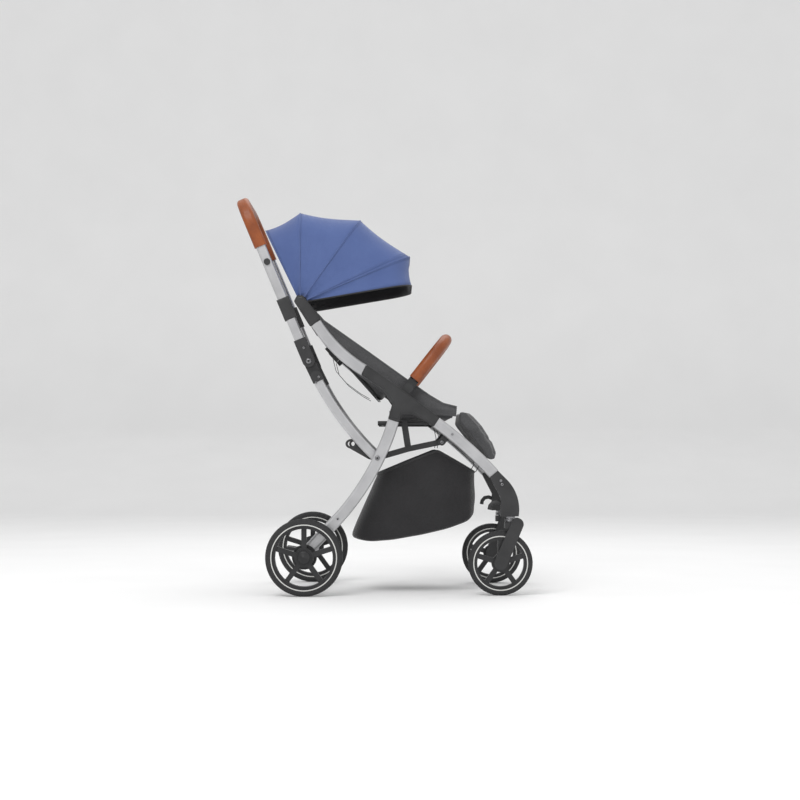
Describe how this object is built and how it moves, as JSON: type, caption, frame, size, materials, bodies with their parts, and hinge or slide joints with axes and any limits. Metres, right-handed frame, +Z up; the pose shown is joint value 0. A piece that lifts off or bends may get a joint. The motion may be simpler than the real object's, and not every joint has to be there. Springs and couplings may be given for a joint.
{
  "type": "baby stroller",
  "caption": "Compact folding baby stroller: tubular frame on casters and rear wheels, reclined padded seat, folding canopy, bumper bar and storage basket.",
  "frame": {"origin": "on the floor under the middle of the unfolded stroller", "axes": "+X forward (towards the child's feet), +Y to the stroller's left, +Z up"},
  "size_m": [0.77, 0.504, 1.0368],
  "materials": {
    "aluminium": "satin anodised tube",
    "moulded_plastic": "fine grained moulding",
    "black_metal": "black powder coat",
    "steel": "dark plated screws and stems",
    "leatherette": "tan stitched leatherette",
    "bumper_plastic": "satin",
    "tyre": "matt foam tyre",
    "rim_plastic": "satin moulding",
    "seat_fabric": "grey melange weave",
    "canopy_fabric": "blue woven cloth",
    "basket_fabric": "black woven cloth",
    "webbing": "black webbing"
  },
  "bodies": {
    "main_frame": {"hub_plate_left": "moulded_plastic", "hub_plate_right": "moulded_plastic", "seat_tubes": "aluminium", "seat_tube_joints": "moulded_plastic", "front_leg_left": "aluminium", "front_leg_right": "aluminium", "front_elbow_left": "moulded_plastic", "front_elbow_right": "moulded_plastic", "seat_frame": "black_metal", "seat_pad": "seat_fabric", "side_wings": "seat_fabric", "canopy_rear_panel": "canopy_fabric", "canopy_bow_rear": "black_metal", "basket": "basket_fabric", "bumper_clips": "moulded_plastic", "frame_screws": "steel", "harness_buckle": "moulded_plastic", "brace_hangers": "moulded_plastic", "brace_brackets": "moulded_plastic"},
    "rear_frame": {"rear_leg_left": "aluminium", "rear_leg_right": "aluminium", "rear_axle": "black_metal", "brake_housings": "moulded_plastic", "fold_catch": "moulded_plastic", "arm_pivot_pins": "steel"},
    "push_frame": {"push_arms": "aluminium", "hinge_lowers": "moulded_plastic"},
    "handle": {"handle_tube": "aluminium", "handle_grip": "leatherette", "handle_collars": "moulded_plastic", "hinge_uppers": "moulded_plastic"},
    "button_right": {"release_button_right": "moulded_plastic"},
    "button_left": {"release_button_left": "moulded_plastic"},
    "brace_rear": {"brace_rear": "black_metal"},
    "brace_front": {"brace_front": "black_metal"},
    "backrest": {"backrest_board": "black_metal", "backrest_pad": "seat_fabric", "recline_strap": "webbing", "recline_buckle": "moulded_plastic", "harness_straps": "webbing"},
    "leg_rest": {"leg_rest_pad": "seat_fabric"},
    "canopy_front": {"canopy_front_panel": "canopy_fabric", "canopy_bow_front": "black_metal"},
    "canopy_mid": {"canopy_mid_panel": "canopy_fabric", "canopy_bow_mid": "black_metal"},
    "bumper": {"bumper_bar": "bumper_plastic", "bumper_cover": "leatherette"},
    "brake_pedal": {"brake_pedal": "moulded_plastic"},
    "rear_wheel_right": {"rear_tyre_right": "tyre", "rear_rim_right": "rim_plastic"},
    "swivel_right": {"caster_stem_right": "steel"},
    "fork_right": {"caster_fork_right": "moulded_plastic"},
    "front_wheel_right": {"front_tyre_right": "tyre", "front_rim_right": "rim_plastic"},
    "rear_wheel_left": {"rear_tyre_left": "tyre", "rear_rim_left": "rim_plastic"},
    "swivel_left": {"caster_stem_left": "steel"},
    "fork_left": {"caster_fork_left": "moulded_plastic"},
    "front_wheel_left": {"front_tyre_left": "tyre", "front_rim_left": "rim_plastic"}
  },
  "joints": [
    {"name": "frame_fold", "type": "hinge", "parent": "main_frame", "child": "rear_frame", "pos_m": [0.03265, 0, 0.4725], "axis": [0, -1, 0], "range_deg": [0, 48]},
    {"name": "push_arm_pivot", "type": "hinge", "parent": "rear_frame", "child": "push_frame", "pos_m": [-0.01435, 0, 0.353], "axis": [0, -1, 0], "range_deg": [-40.5, 0]},
    {"name": "handle_fold", "type": "hinge", "parent": "push_frame", "child": "handle", "pos_m": [-0.19265, 0, 0.6038], "axis": [0, -1, 0], "range_deg": [0, 125]},
    {"name": "brace_rear_pivot", "type": "hinge", "parent": "rear_frame", "child": "brace_rear", "pos_m": [-0.01435, 0, 0.353], "axis": [0, -1, 0], "range_deg": [0, 34.5]},
    {"name": "brace_front_pivot", "type": "hinge", "parent": "main_frame", "child": "brace_front", "pos_m": [0.15195, 0, 0.394], "axis": [0, -1, 0], "range_deg": [-48, 0]},
    {"name": "button_right_press", "type": "slide", "parent": "handle", "child": "button_right", "axis": [0, 1, 0], "range_m": [0, 0.002], "stiffness_N_per_m": 800, "springref_m": -0.001},
    {"name": "button_left_press", "type": "slide", "parent": "handle", "child": "button_left", "axis": [0, -1, 0], "range_m": [0, 0.002], "stiffness_N_per_m": 800, "springref_m": -0.001},
    {"name": "recline", "type": "hinge", "parent": "main_frame", "child": "backrest", "pos_m": [0.00895, 0, 0.478], "axis": [0, 1, 0], "range_deg": [0, 25]},
    {"name": "leg_rest_tilt", "type": "hinge", "parent": "main_frame", "child": "leg_rest", "pos_m": [0.19295, 0, 0.48], "axis": [0, -1, 0], "range_deg": [0, 40]},
    {"name": "canopy_fold", "type": "hinge", "parent": "main_frame", "child": "canopy_front", "pos_m": [-0.21505, 0, 0.757], "axis": [0, -1, 0], "range_deg": [0, 50]},
    {"name": "canopy_mid_fold", "type": "hinge", "parent": "main_frame", "child": "canopy_mid", "pos_m": [-0.21505, 0, 0.757], "axis": [0, -1, 0], "range_deg": [0, 25]},
    {"name": "bumper_tilt", "type": "hinge", "parent": "main_frame", "child": "bumper", "pos_m": [0.06295, 0, 0.533], "axis": [0, 1, 0], "range_deg": [0, 45]},
    {"name": "brake_press", "type": "hinge", "parent": "rear_frame", "child": "brake_pedal", "pos_m": [-0.20155, 0, 0.099], "axis": [0, -1, 0], "range_deg": [0, 20]},
    {"name": "rear_wheel_spin_right", "type": "hinge", "parent": "rear_frame", "child": "rear_wheel_right", "pos_m": [-0.20155, -0.238, 0.099], "axis": [0, 1, 0], "continuous": true},
    {"name": "swivel_turn_right", "type": "hinge", "parent": "main_frame", "child": "swivel_right", "pos_m": [0.32695, -0.205, 0.203], "axis": [0, 0, 1], "continuous": true},
    {"name": "suspension_right", "type": "slide", "parent": "swivel_right", "child": "fork_right", "axis": [0, 0, 1], "range_m": [0, 0.006], "stiffness_N_per_m": 5000, "springref_m": -0.008},
    {"name": "front_wheel_spin_right", "type": "hinge", "parent": "fork_right", "child": "front_wheel_right", "pos_m": [0.30195, -0.205, 0.083], "axis": [0, 1, 0], "continuous": true},
    {"name": "rear_wheel_spin_left", "type": "hinge", "parent": "rear_frame", "child": "rear_wheel_left", "pos_m": [-0.20155, 0.238, 0.099], "axis": [0, 1, 0], "continuous": true},
    {"name": "swivel_turn_left", "type": "hinge", "parent": "main_frame", "child": "swivel_left", "pos_m": [0.32695, 0.205, 0.203], "axis": [0, 0, 1], "continuous": true},
    {"name": "suspension_left", "type": "slide", "parent": "swivel_left", "child": "fork_left", "axis": [0, 0, 1], "range_m": [0, 0.006], "stiffness_N_per_m": 5000, "springref_m": -0.008},
    {"name": "front_wheel_spin_left", "type": "hinge", "parent": "fork_left", "child": "front_wheel_left", "pos_m": [0.30195, 0.205, 0.083], "axis": [0, 1, 0], "continuous": true}
  ],
  "couplings": [
    {"joint": "push_arm_pivot", "follows": "frame_fold", "ratio": -0.769},
    {"joint": "brace_rear_pivot", "follows": "frame_fold", "ratio": 0.652},
    {"joint": "brace_front_pivot", "follows": "frame_fold", "ratio": -0.91},
    {"joint": "canopy_mid_fold", "follows": "canopy_fold", "ratio": 0.5}
  ]
}
